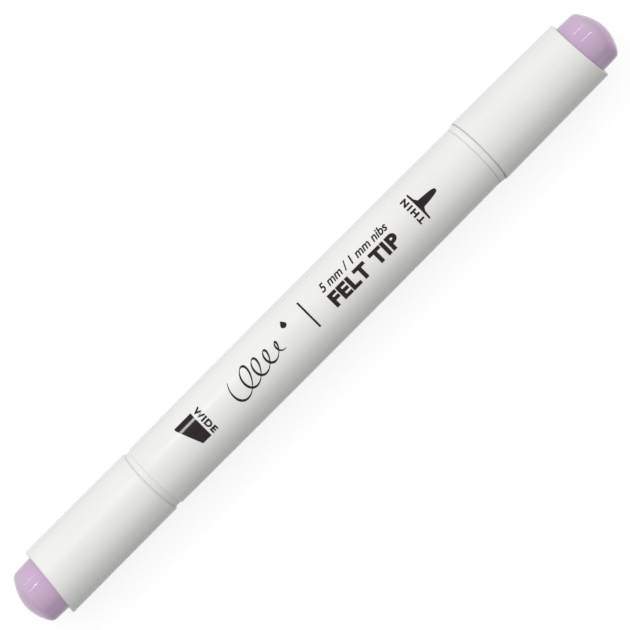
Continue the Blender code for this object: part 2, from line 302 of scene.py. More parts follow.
class Value:
    """A node's output that can be used in Python sums."""

    def __init__(self, graph, socket):
        self.graph = graph
        self.socket = socket

    def maths(self, operation, first, second):
        node = self.graph.node("ShaderNodeMath", {"operation": operation}, {0: first, 1: second})
        return Value(self.graph, node.outputs[0])

    def __add__(self, other):
        return self.maths("ADD", self, other)

    def __sub__(self, other):
        return self.maths("SUBTRACT", self, other)

    def __rsub__(self, other):
        return self.maths("SUBTRACT", other, self)

    def __mul__(self, other):
        return self.maths("MULTIPLY", self, other)

    def __truediv__(self, other):
        return self.maths("DIVIDE", self, other)

    def __gt__(self, other):
        return self.maths("GREATER_THAN", self, other)

    def __lt__(self, other):
        return self.maths("LESS_THAN", self, other)

    def __pow__(self, other):
        return self.maths("POWER", self, other)

    __radd__ = __add__
    __rmul__ = __mul__


class Graph:
    """Writes the nodes of one tree."""

    def __init__(self, tree):
        self.tree = tree

    def node(self, kind, settings=None, sockets=None):
        """A node with its settings made first, and then its sockets' values or links."""
        node = self.tree.nodes.new(kind)
        for name, setting in (settings or {}).items():
            if name == "stops":
                ramp = node.color_ramp.elements
                while len(ramp) < len(setting):
                    ramp.new(1.0)
                for stop, (position, shade) in zip(ramp, setting):
                    stop.position, stop.color = position, (shade, shade, shade, 1.0)
            else:
                setattr(node, name, setting)
        for name, value in (sockets or {}).items():
            self.set(node.inputs[name], value)
        return node

    def set(self, socket, value):
        """Link a socket to a Value, a socket or a node's first output, or give it a value."""
        if isinstance(value, Value):
            value = value.socket
        elif isinstance(value, bpy.types.Node):
            value = value.outputs[0]
        if isinstance(value, bpy.types.NodeSocket):
            self.tree.links.new(value, socket)
        else:
            socket.default_value = value


class Finish(Graph):
    """A material whose Principled shader is fed by patterns on Object coordinates."""

    def __init__(self, name, **shader):
        self.material = bpy.data.materials.new(name)
        self.material.use_nodes = True
        super().__init__(self.material.node_tree)
        self.shader = self.tree.nodes["Principled BSDF"]
        for socket, value in shader.items():
            self.shader.inputs[socket.replace("_", " ")].default_value = value
        self.place = self.node("ShaderNodeTexCoord").outputs["Object"]

    def noise(self, scale, detail=2.0, stretch=(1, 1, 1), roughness=0.5):
        """Noise from 0 to 1, with scale in features per metre, stretched along the axes."""
        mapping = self.node("ShaderNodeMapping", {"vector_type": "POINT"},
                            {"Vector": self.place, "Scale": stretch})
        noise = self.node("ShaderNodeTexNoise", {"noise_dimensions": "3D"},
                          {"Vector": mapping.outputs["Vector"], "Scale": scale,
                           "Detail": detail, "Roughness": roughness})
        return Value(self, noise.outputs["Fac"])

    def contrast(self, value, low, high):
        """Spread the part of a pattern between low and high over the range from 0 to 1."""
        ramp = self.node(
            "ShaderNodeValToRGB", {"stops": [(low, 0.0), (high, 1.0)]}, {"Fac": value})
        return Value(self, ramp.outputs["Color"])

    def blend(self, share, first, second):
        """Mix of two colours."""
        node = self.node("ShaderNodeMix", {"data_type": "RGBA"}, {0: share, 6: first, 7: second})
        return node.outputs[2]

    def bump(self, height, distance, strength=1.0):
        node = self.node(
            "ShaderNodeBump", None, {"Height": height, "Distance": distance, "Strength": strength})
        self.set(self.shader.inputs["Normal"], node.outputs["Normal"])

    def colour(self, share, colour, dark, light):
        """Base colour that goes from one tint of a colour to another."""
        self.set(self.shader.inputs["Base Color"],
                 self.blend(share, tinted(colour, dark), tinted(colour, light)))

    def roughness(self, value):
        self.set(self.shader.inputs["Roughness"], value)


def tinted(colour, factor):
    """A colour made lighter or darker."""
    return (*(channel * factor for channel in colour), 1.0)


def moulded_plastic(name, colour, roughness, cloud=0.97, skin=0.003 * MM, **shader):
    """Injection-moulded plastic: faint clouding, a fine skin, and polish lines from the mould.

    The lines run along the marker, the way the mould's core was polished and drawn.
    """
    finish = Finish(name, **shader)
    clouds = finish.contrast(finish.noise(70, detail=3), 0.3, 0.7)
    grain = finish.noise(2200, detail=4)
    lines = finish.noise(900, detail=2, stretch=(0.03, 1, 1))
    finish.colour(clouds, colour, 1.0, cloud)
    finish.roughness(roughness - 0.02 + 0.03 * clouds + 0.03 * lines)
    finish.bump(0.6 * lines + 0.4 * grain, skin)
    return finish


def make_finishes(colours):
    moulded_plastic(WHITE, colours.white, 0.26, Specular_IOR_Level=0.28)
    moulded_plastic(HOLDER, colours.white, 0.36, Specular_IOR_Level=0.42)
    moulded_plastic(
        LAVENDER, colours.lavender, 0.07, cloud=0.94, skin=0.0003 * MM, Specular_IOR_Level=0.3)
    moulded_plastic(NATURAL, colours.liner, 0.42, cloud=0.93)

    ink = Finish(INK, Specular_IOR_Level=0.3)
    speckle = ink.noise(9000, detail=3)
    patches = ink.contrast(ink.noise(700, detail=3), 0.35, 0.75)
    ink.colour(patches, colours.print, 0.6, 1.4)
    ink.roughness(0.10 + 0.04 * speckle)
    ink.bump(speckle, 0.0006 * MM)

    felt = Finish(FELT, Sheen_Weight=0.35, Sheen_Roughness=0.5, Specular_IOR_Level=0.2)
    strands = felt.noise(2600, detail=4, stretch=(0.08, 1, 1), roughness=0.65)
    pores = felt.noise(4200, detail=4, roughness=0.7)
    soak = felt.contrast(0.6 * strands + 0.4 * pores, 0.3, 0.68)
    felt.colour(soak, colours.ink, 0.45, 1.35)
    felt.roughness(0.86 + 0.1 * pores)
    felt.bump(0.7 * strands + 0.5 * pores, 0.09 * MM)

    fibre = Finish(FIBRE, Sheen_Weight=0.2, Specular_IOR_Level=0.2)
    bundle = fibre.noise(1500, detail=4, stretch=(0.02, 1, 1), roughness=0.7)
    wet = fibre.contrast(fibre.noise(120, detail=2), 0.35, 0.65)
    shade = fibre.blend(wet, tinted(colours.ink, 0.9), tinted(colours.ink, 1.5))
    streaked = fibre.blend(fibre.contrast(bundle, 0.35, 0.7), shade, tinted(colours.ink, 2.0))
    fibre.set(fibre.shader.inputs["Base Color"], streaked)
    fibre.roughness(0.8 + 0.15 * bundle)
    fibre.bump(bundle, 0.12 * MM)

    film = Finish(FILM, Alpha=0.4)
    wrinkles = film.noise(400, detail=3, stretch=(0.2, 1, 1))
    film.colour(wrinkles, colours.liner, 1.15, 1.0)
    film.roughness(0.12 + 0.15 * wrinkles)
    film.bump(wrinkles, 0.04 * MM)


# ---- meshes ------------------------------------------------------------------------------------

def rounded(corners):
    """Outline through (distance, radius, rounding) corners, each corner made an arc."""
    outline = []
    for index, (distance, radius, rounding) in enumerate(corners):
        here = Vector((distance, radius))
        if rounding == 0:
            outline.append(here)
            continue
        before = Vector(corners[index - 1][:2]) - here
        after = Vector(corners[(index + 1) % len(corners)][:2]) - here
        half = before.angle(after) / 2
        run = rounding / math.tan(half)
        inward = (before.normalized() + after.normalized()).normalized()
        centre = here + inward * rounding / math.sin(half)
        start = here + before.normalized() * run
        spoke = start - centre
        turn = math.copysign(math.pi - 2 * half, spoke.x * after.y - spoke.y * after.x)
        if before.length > 2 * (run + HOLD):
            outline.append(start + before.normalized() * HOLD)
        for step in range(ARC_STEPS + 1):
            outline.append(centre + Matrix.Rotation(turn * step / ARC_STEPS, 2) @ spoke)
        if after.length > 2 * (run + HOLD):
            outline.append(here + after.normalized() * (run + HOLD))
    return outline


def turned(outline, closed=True):
    """Mesh of an outline spun once round the X axis.

    A closed outline is a ring's section; an open one starts and ends on the axis.
    """
    shape = bmesh.new()
    corners = [shape.verts.new((x, 0, radius)) for x, radius in outline]
    pairs = list(zip(corners, corners[1:]))
    if closed:
        pairs.append((corners[-1], corners[0]))
    edges = [shape.edges.new(pair) for pair in pairs]
    bmesh.ops.spin(shape, geom=corners + edges, cent=(0, 0, 0), axis=(1, 0, 0),
                   angle=2 * math.pi, steps=SIDES)
    bmesh.ops.remove_doubles(shape, verts=shape.verts, dist=MERGE)
    bmesh.ops.recalc_face_normals(shape, faces=shape.faces)
    return taken(shape)


def taken(shape):
    """The plain mesh of a finished bmesh."""
    mesh = bpy.data.meshes.new("shape")
    shape.to_mesh(mesh)
    shape.free()
    return mesh


def slant(mesh, start, tilt, lean):
    """Shift what lies beyond start along X, so that a square end becomes a slanted one."""
    for vertex in mesh.vertices:
        if vertex.co.x > start:
            towards_short_side = vertex.co.z * math.cos(lean) + vertex.co.y * math.sin(lean)
            vertex.co.x -= math.tan(tilt) * towards_short_side


def rounded_bar(stations, width, thickness, corner):
    """Mesh of a bar with rounded corners, lofted through (distance, inset) stations."""
    shape = bmesh.new()
    rings = []
    for distance, inset in stations:
        ring = []
        rounding = max(corner - inset, 0.05 * MM)
        half_width = width / 2 - inset - rounding
        half_thickness = thickness / 2 - inset - rounding
        for quarter, (side_y, side_z) in enumerate(((1, 1), (-1, 1), (-1, -1), (1, -1))):
            for step in range(ARC_STEPS + 1):
                angle = math.pi / 2 * (quarter + step / ARC_STEPS)
                ring.append(shape.verts.new((
                    distance,
                    side_y * half_width + rounding * math.cos(angle),
                    side_z * half_thickness + rounding * math.sin(angle))))
        rings.append(ring)
    for near, far in zip(rings, rings[1:]):
        for index in range(len(near)):
            following = (index + 1) % len(near)
            shape.faces.new((near[index], near[following], far[following], far[index]))
    shape.faces.new(rings[0])
    shape.faces.new(rings[-1])
    bmesh.ops.recalc_face_normals(shape, faces=shape.faces)
    return taken(shape)


def shown(name, mesh):
    thing = bpy.data.objects.new(name, mesh)
    bpy.context.scene.collection.objects.link(thing)
    return thing


def baked(thing):
    """Plain mesh of an object with its modifiers applied, which are then removed."""
    graph = bpy.context.evaluated_depsgraph_get()
    mesh = bpy.data.meshes.new_from_object(thing.evaluated_get(graph), depsgraph=graph)
    thing.modifiers.clear()
    return mesh


def fitted(name, mesh, finish, body, slot, *nodes):
    """Add a finished mesh to the marker, riding on a body and standing for its CAD nodes."""
    mesh.name = name
    mesh.materials.clear()
    mesh.materials.append(bpy.data.materials[finish])
    mesh.shade_smooth()
    mesh.set_sharp_from_angle(angle=SHARP_EDGE)
    thing = shown(name, mesh)
    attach(thing, body)
    if nodes:
        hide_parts(*nodes)
    return thing


def cut_through(mesh, guide_mesh):
    """The first mesh with the second taken out of it."""
    piece, guide = shown("piece", mesh), shown("guide", guide_mesh)
    cut = piece.modifiers.new("cut", "BOOLEAN")
    cut.operation, cut.solver, cut.object = "DIFFERENCE", "EXACT", guide
    result = baked(piece)
    bpy.data.objects.remove(piece)
    bpy.data.objects.remove(guide)
    return result


# ---- geometry node trees -----------------------------------------------------------------------

class Grower(Graph):
    """A geometry tree with named inputs, run once to give a plain mesh."""

    def __init__(self, name, geometry_in=False):
        super().__init__(bpy.data.node_groups.new(name, "GeometryNodeTree"))
        self.identifiers = {}
        self.geometry_in = geometry_in
        if geometry_in:
            self.tree.interface.new_socket(
                "Geometry", in_out="INPUT", socket_type="NodeSocketGeometry")
        self.tree.interface.new_socket(
            "Geometry", in_out="OUTPUT", socket_type="NodeSocketGeometry")
        self.group_in = self.node("NodeGroupInput")

    def number(self, name, kind="NodeSocketFloat"):
        """A named input of the tree."""
        socket = self.tree.interface.new_socket(name, in_out="INPUT", socket_type=kind)
        self.identifiers[name] = socket.identifier
        return Value(self, self.group_in.outputs[name])

    def point(self):
        """The X, Y and Z of the points being worked on."""
        parts = self.node(
            "ShaderNodeSeparateXYZ", None, {0: self.node("GeometryNodeInputPosition")})
        return [Value(self, socket) for socket in parts.outputs]

    def vector(self, x, y, z):
        return self.node("ShaderNodeCombineXYZ", None, {0: x, 1: y, 2: z}).outputs[0]

    def sine(self, angle, operation="SINE"):
        return angle.maths(operation, angle, 0.0)

    def crown(self, x, half_length, broad_drop, fine_drop):
        """How far the barrel's surface has fallen at x from its radius at the middle."""
        along = x / half_length
        return along * along * (broad_drop * (x < 0.0) + fine_drop * (x > 0.0))

    def grow(self, geometry, material, sizes, mesh=None):
        """Finish the tree and return the mesh that it makes with these sizes."""
        named = self.node(
            "GeometryNodeSetMaterial", None,
            {"Geometry": self.node("GeometryNodeRealizeInstances", None, {"Geometry": geometry}),
             "Material": bpy.data.materials[material]})
        self.node("NodeGroupOutput", None, {0: named})
        thing = shown(self.tree.name, mesh or bpy.data.meshes.new(self.tree.name))
        modifier = thing.modifiers.new(self.tree.name, "NODES")
        modifier.node_group = self.tree
        for name, value in sizes.items():
            modifier[self.identifiers[name]] = value
        result = baked(thing)
        bpy.data.objects.remove(thing)
        return result


def barrel_shape(sizes):
    """The named inputs that shape the barrel and carry the print on its surface."""
    return {"Half Length": BARREL_END, "Middle Radius": sizes.barrel_middle_radius,
            "Broad Radius": sizes.barrel_broad_radius, "Fine Radius": sizes.barrel_fine_radius,
            "Axis Height": AXIS_HEIGHT}


def crowned_tube(sizes):
    """The barrel: a rounded wall section, crowned by a parabola and swept round the axis."""
    tree = Grower("Crowned Tube")
    shape = barrel_shape(sizes)
    half_length, middle, broad, fine, height = map(tree.number, shape)
    bore, edge = tree.number("Bore Radius"), tree.number("Edge Rounding")
    sides = tree.number("Sides", "NodeSocketInt")
    steps = tree.number("Crown Steps", "NodeSocketInt")

    wall = middle - bore
    section = tree.node("GeometryNodeCurvePrimitiveQuadrilateral", {"mode": "RECTANGLE"},
                        {"Width": wall, "Height": half_length * 2})
    eased = tree.node("GeometryNodeFilletCurve", {"mode": "POLY"},
                      {"Curve": section, "Count": ARC_STEPS, "Radius": edge})
    here = tree.node("GeometryNodeInputPosition").outputs[0]
    following = tree.node("GeometryNodeOffsetPointInCurve", None, {"Offset": 1})
    there = tree.node("GeometryNodeFieldAtIndex", {"data_type": "FLOAT_VECTOR"},
                      {"Value": here, "Index": following.outputs["Point Index"]})
    stretch = tree.node(
        "ShaderNodeVectorMath", {"operation": "DISTANCE"}, {0: here, 1: there.outputs[0]})
    is_long = Value(tree, stretch.outputs["Value"]) > wall
    divided = tree.node(
        "GeometryNodeSubdivideCurve", None, {"Curve": eased, "Cuts": is_long * steps})
    outward, along, _ = tree.point()
    share = outward / wall + 0.5
    drop = tree.crown(along, half_length, middle - broad, middle - fine) * share
    crowned = tree.node("GeometryNodeSetPosition", None,
                        {"Geometry": divided, "Offset": tree.vector(0.0 - drop, 0.0, 0.0)})
    round_it = tree.node("GeometryNodeCurvePrimitiveCircle", {"mode": "RADIUS"},
                         {"Resolution": sides, "Radius": bore + wall / 2})
    swept = tree.node(
        "GeometryNodeCurveToMesh", None, {"Curve": round_it, "Profile Curve": crowned})
    laid = tree.node("GeometryNodeTransform", None,
                     {"Geometry": swept, "Translation": tree.vector(0.0, 0.0, height),
                      "Rotation": (0, -math.pi / 2, 0)})
    return tree.grow(laid, WHITE, {
        **shape, "Bore Radius": sizes.barrel_middle_radius - BARREL_WALL,
        "Edge Rounding": sizes.barrel_edge, "Sides": SIDES, "Crown Steps": CROWN_STEPS})


def printed_layer(layout, sizes):
    """Flat marks given a thickness and laid round the barrel's crowned surface."""
    tree = Grower("Printed Layer", geometry_in=True)
    shape = barrel_shape(sizes)
    half_length, middle, broad, fine, height = map(tree.number, shape)
    thickness, clearance = tree.number("Ink Thickness"), tree.number("Clearance")

    flat = tree.group_in.outputs["Geometry"]
    raised = tree.node(
        "GeometryNodeExtrudeMesh", {"mode": "FACES"},
        {"Mesh": flat, "Offset": (0, 0, 1), "Offset Scale": thickness, "Individual": False})
    underside = tree.node("GeometryNodeFlipFaces", None, {"Mesh": flat})
    both = tree.node("GeometryNodeJoinGeometry")
    tree.set(both.inputs[0], raised.outputs["Mesh"])
    tree.set(both.inputs[0], underside.outputs[0])
    solid = tree.node("GeometryNodeMergeByDistance", None, {"Geometry": both, "Distance": MERGE})
    x, y, z = tree.point()
    angle = y / middle
    radius = middle - tree.crown(x, half_length, middle - broad, middle - fine) + z + clearance
    wrapped = tree.node("GeometryNodeSetPosition", None,
                        {"Geometry": solid,
                         "Position": tree.vector(x, tree.sine(angle) * radius,
                                                 tree.sine(angle, "COSINE") * radius + height)})
    return tree.grow(wrapped, INK, {
        **shape, "Ink Thickness": sizes.ink_thickness, "Clearance": INK_CLEARANCE}, layout)


def neck_ribs(count):
    """A ring of small half-round ribs that stand out of a neck, about the X axis."""
    tree = Grower("Neck Ribs")
    count_in = tree.number("Count", "NodeSocketInt")
    ring_radius, distance = tree.number("Ring Radius"), tree.number("Distance")
    length, rib_radius = tree.number("Length"), tree.number("Rib Radius")

    spine = tree.node("GeometryNodeCurvePrimitiveLine", None,
                      {"Start": tree.vector(0.0, 0.0, length * -0.5),
                       "End": tree.vector(0.0, 0.0, length * 0.5)})
    stations = tree.node("GeometryNodeResampleCurve", None,
                         {"Curve": spine, "Count": RIB_STATIONS})
    factor = Value(tree, tree.node("GeometryNodeSplineParameter").outputs["Factor"])
    from_middle = factor * 2.0 - 1.0
    fullness = (1.0 - from_middle ** 6.0) ** 0.5
    swelling = tree.node(
        "GeometryNodeSetCurveRadius", None, {"Curve": stations, "Radius": fullness})
    section = tree.node("GeometryNodeCurvePrimitiveCircle", {"mode": "RADIUS"},
                        {"Resolution": RIB_SIDES, "Radius": rib_radius})
    rib = tree.node(
        "GeometryNodeCurveToMesh", None,
        {"Curve": swelling, "Profile Curve": section, "Scale": fullness, "Fill Caps": True})
    closed = tree.node("GeometryNodeMergeByDistance", None, {"Geometry": rib, "Distance": MERGE})
    ring = tree.node("GeometryNodeMeshCircle", None, {"Vertices": count_in, "Radius": ring_radius})
    placed = tree.node("GeometryNodeInstanceOnPoints", None, {"Points": ring, "Instance": closed})
    laid = tree.node("GeometryNodeTransform", None,
                     {"Geometry": placed, "Translation": tree.vector(distance, 0.0, 0.0),
                      "Rotation": (0, math.pi / 2, 0)})
    return tree.grow(laid, HOLDER, {
        "Count": count,
        "Ring Radius": NECK_RADIUS - RIB_HEIGHT,
        "Distance": NECK_START + RIB_GAP + RIB_LENGTH / 2,
        "Length": RIB_LENGTH,
        "Rib Radius": 2 * RIB_HEIGHT})


# ---- the print ---------------------------------------------------------------------------------

def lettering(layout, words, size, centre, quarter_turns, weight, spacing, slope):
    """Add words to the flat layout, stretched to a (length, height) and turned."""
    curve = bpy.data.curves.new(words, "FONT")
    curve.body, curve.offset, curve.space_character = words, weight, spacing
    curve.shear = slope
    text = shown(words, curve)
    mesh = baked(text)
    bpy.data.objects.remove(text)
    low = Vector([min(v.co[axis] for v in mesh.vertices) for axis in range(3)])
    high = Vector([max(v.co[axis] for v in mesh.vertices) for axis in range(3)])
    spread = Matrix.Diagonal(
        (size[0] * MM / (high.x - low.x), size[1] * MM / (high.y - low.y), 1, 1))
    mesh.transform(Matrix.Translation((centre[0] * MM, centre[1] * MM, 0))
                   @ Matrix.Rotation(quarter_turns * math.pi / 2, 4, "Z") @ spread
                   @ Matrix.Translation(-(low + high) / 2))
    layout.from_mesh(mesh)


def filled(layout, points):
    """Add a filled outline, given as (x, y) points in order, to the flat layout."""
    layout.faces.new([layout.verts.new((x, y, 0)) for x, y in points])


def ribbon(layout, path, half_widths):
    """Add a stroke of changing width along a path of points to the flat layout."""
    edges = []
    for index, here in enumerate(path):
        run = path[min(index + 1, len(path) - 1)] - path[max(index - 1, 0)]
        across = Vector((-run.y, run.x)).normalized() * half_widths[index]
        edges.append(
            [layout.verts.new((*(here + across), 0)), layout.verts.new((*(here - across), 0))])
    for near, far in zip(edges, edges[1:]):
        layout.faces.new((near[1], far[1], far[0], near[0]))


def pen_loops(layout):
    """Slanted loops drawn with a chisel pen, which run out small."""
    start, end = Vector((-18.9, -0.1)) * MM, Vector((-7.4, -0.1)) * MM
    first, last, shrink = Vector((1.9, 2.9)) * MM, Vector((0.7, 1.0)) * MM, 0.8
    loops, start_angle, slope = 4.4, -0.75 * math.pi, 0.3
    thin, thick, pen_angle = 0.07, 0.17, math.radians(40)
    steps, lead_in, lead_out = 260, 12, 20
    path = []
    for step in range(steps + 1):
        share = step / steps
        size = first.lerp(last, share ** shrink)
        angle = 2 * math.pi * loops * share + start_angle
        swing = Vector((size.x * math.sin(angle), -size.y * math.cos(angle)))
        swing.x += slope * swing.y
        path.append(start.lerp(end, share) + swing)
    half_widths = []
    for index in range(len(path)):
        run = path[min(index + 1, steps)] - path[max(index - 1, 0)]
        broadside = abs(math.sin(math.atan2(run.y, run.x) - pen_angle))
        taper = min(1.0, index / lead_in, (steps - index) / lead_out)
        half_widths.append((thin + thick * broadside * taper) * MM)
    ribbon(layout, path, half_widths)


def ink_drop(layout):
    """A drop of ink, round below and drawn out to a point above."""
    centre, radius, turns, waist, point = Vector((-5.1, 2.2)) * MM, 0.62 * MM, 28, 0.5, 0.6
    outline = []
    for step in range(turns):
        angle = -2 * math.pi * step / turns
        above = max(0.0, math.cos(angle))
        outline.append(centre + radius * Vector((math.sin(angle) * (1 - waist * above ** 2),
                                                 math.cos(angle) * (1 + point * above ** 3))))
    filled(layout, outline)


def nib_signs(layout):
    """The two pictograms: the side of a chisel nib, and a bullet nib on its shoulder."""
    right, top, bottom = -28.15 * MM, 2.95 * MM, -2.75 * MM
    long_side, short_side, edge = 4.15 * MM, 2.1 * MM, 0.5 * MM
    filled(layout, [(right, top), (right - long_side, top), (right - long_side, top - edge),
                    (right - short_side, bottom), (right, bottom)])

    shoulder, half_bar, bar = 27.1 * MM, 3.1 * MM, 0.17 * MM
    fillet, half_fillet = shoulder + 0.3 * MM, 1.5 * MM
    root, root_half, tip, bluntness, steps = 27.8 * MM, 0.84 * MM, 31.5 * MM, 3.6, 14
    upper = [(shoulder - bar, half_bar), (shoulder - bar, -half_bar), (shoulder + bar, -half_bar),
             (fillet, -half_fillet), (root, -root_half)]
    nose = []
    for step in range(1, steps * 2):
        share = step / steps - 1
        nose.append((root + (tip - root) * (1 - abs(share) ** bluntness), root_half * share))
    lower = [(root, root_half), (fillet, half_fillet), (shoulder + bar, half_bar)]
    filled(layout, upper + nose + lower)


def divider(layout):
    """The upright line between the loops and the words."""
    along, centre, half_width, half_height = -0.55 * MM, 0.3 * MM, 0.19 * MM, 3.15 * MM
    filled(layout, [(along + half_width * side, centre + half_height * end)
                    for side, end in ((1, 1), (-1, 1), (-1, -1), (1, -1))])


def print_layout(words):
    """All the marks, flat: X along the marker, Y across it, cut fine enough to bend round."""
    layout = bmesh.new()
    nib_signs(layout)
    pen_loops(layout)
    ink_drop(layout)
    divider(layout)
    for word, *style in WORDS:
        lettering(layout, getattr(words, word), *style)
    half_height, cut_spacing, touch = 4.0 * MM, 0.25 * MM, 1e-8
    for cut in range(int(2 * half_height / cut_spacing) + 1):
        everything = layout.verts[:] + layout.edges[:] + layout.faces[:]
        bmesh.ops.bisect_plane(layout, geom=everything, dist=touch, plane_no=(0, 1, 0),
                               plane_co=(0, cut * cut_spacing - half_height, 0))
    bmesh.ops.remove_doubles(layout, verts=layout.verts, dist=10 * touch)
    for face in layout.faces:
        face.normal_update()
        if face.normal.z < 0:
            face.normal_flip()
    return taken(layout)


# ---- holders, nibs and caps --------------------------------------------------------------------

def holder_root(bore, inner_edge, outer_edge, rounding):
    """Corners that both holders share: spigot, band, cap seat and beaded neck."""
    spigot = bore - PRESS_GAP
    seat = CAP_BORE - SEAT_STEP / 2
    bead_start = (NECK_START + NECK_END - BEAD_LENGTH) / 2
    bead_end = bead_start + BEAD_LENGTH
    bead = NECK_RADIUS + BEAD_HEIGHT
    neck_bore = NECK_RADIUS - NECK_WALL
    return [(BAND_START, neck_bore, 0.2 * MM), (BAND_START, spigot - SPIGOT_WALL, 0.2 * MM),
            (SPIGOT_START, spigot - SPIGOT_WALL, 0.2 * MM), (SPIGOT_START, spigot, 0.3 * MM),
            (BAND_START, spigot, 0.04 * MM), (BAND_START, inner_edge, rounding),
            (BAND_END, outer_edge, rounding), (BAND_END, seat, 0.05 * MM),
            (NECK_START, seat, 0.2 * MM), (NECK_START, NECK_RADIUS, 0.25 * MM),
            (bead_start, NECK_RADIUS, 0.08 * MM), (bead_start + BEAD_HEIGHT, bead, 0.1 * MM),
            (bead_end - BEAD_HEIGHT, bead, 0.1 * MM), (bead_end, NECK_RADIUS, 0.08 * MM)]


def make_broad_holder(bore, sizes):
    """The broad end's holder, with a slot through its nose for the flat nib."""
    floor = NOSE_END - NOSE_WALL
    corners = holder_root(bore, sizes.broad_band_radius, sizes.broad_band_radius, 0.03 * MM)
    corners += [(NECK_END, NECK_RADIUS, 0.4 * MM), (NOSE_END, NECK_RADIUS - NOSE_TAPER, 0.45 * MM),
                (NOSE_END, 0, 0), (floor, 0, 0), (floor, NECK_RADIUS - NECK_WALL, 0.3 * MM)]
    outline = rounded(corners)
    slot = rounded_bar(
        [(floor - NOSE_WALL, 0), (NOSE_END + NOSE_WALL, 0)], BROAD_NIB_WIDTH + 2 * NIB_FIT,
        BROAD_NIB_THICKNESS + 2 * NIB_FIT, BROAD_NIB_CORNER + NIB_FIT)
    mesh = cut_through(turned(outline), slot)
    mesh.transform(BROAD_END)
    fitted("broad_holder", mesh, HOLDER, "marker_body", "holder_plastic", "broad_nib_holder")


def make_fine_holder(bore, sizes):
    """The fine end's holder: its band flares to the cap, and its nose is a cone and a tube."""
    cone_end = NECK_END + CONE_LENGTH
    hole = FINE_NIB_RADIUS + NIB_FIT
    inner = sizes.barrel_fine_radius
    corners = holder_root(bore, inner, inner + sizes.fine_band_flare, 0.08 * MM)
    corners += [
        (NECK_END, NECK_RADIUS, 0.3 * MM), (cone_end, TUBE_RADIUS + TUBE_TAPER, 0.8 * MM),
        (TUBE_END, TUBE_RADIUS, 0.3 * MM), (TUBE_END, hole, 0.12 * MM), (NECK_END, hole, 0.1 * MM),
        (NECK_END - SPIGOT_WALL, NECK_RADIUS - NECK_WALL, 0.3 * MM)]
    mesh = turned(rounded(corners))
    mesh.transform(FINE_END)
    fitted("fine_holder", mesh, HOLDER, "marker_body", "holder_plastic", "fine_nib_holder")


def make_nibs():
    """The felt chisel, worn a little round at its edge, and the fibre bullet."""
    stations = [(TAIL_END, TAIL_TAPER), (TAIL_END + TAIL_TAPER, 0)]
    stations += [(NOSE_END + step * 0.4 * MM, 0) for step in range(-2, 6)]
    turns = 6
    for step in range(turns + 1):
        angle = math.pi / 2 * step / turns
        stations.append((BROAD_TIP - CHISEL_SOFT * (1 - math.sin(angle)),
                         CHISEL_SOFT * 0.7 * (1 - math.cos(angle))))
    stations += [(BROAD_TIP, CHISEL_SOFT), (BROAD_TIP, CHISEL_FLAT)]
    chisel = rounded_bar(stations, BROAD_NIB_WIDTH, BROAD_NIB_THICKNESS, BROAD_NIB_CORNER)
    free_length = BROAD_TIP - CHISEL_SOFT - NOSE_END
    for vertex in chisel.vertices:
        share = min(max((vertex.co.x - NOSE_END) / free_length, 0.0), 1.0)
        vertex.co.x -= CHISEL_DROP * share * (vertex.co.y / BROAD_NIB_WIDTH + 0.5)
    chisel.transform(BROAD_END)
    fitted("broad_nib", chisel, FELT, "marker_body", "inked_felt", "broad_chisel_nib")

    steps = 16
    tip = [(FINE_TIP - FINE_TIP_ROUND * (1 - math.sin(angle)), FINE_NIB_RADIUS * math.cos(angle))
           for angle in (math.pi / 2 * step / steps for step in range(steps))]
    bullet = turned([(TAIL_END, 0), (TAIL_END, FINE_NIB_RADIUS - 0.1 * MM),
                     (TAIL_END + 0.1 * MM, FINE_NIB_RADIUS), (NOSE_END, FINE_NIB_RADIUS),
                     *tip, (FINE_TIP, 0)], closed=False)
    bullet.transform(FINE_END)
    fitted("fine_nib", bullet, FELT, "marker_body", "inked_felt", "fine_bullet_nib")


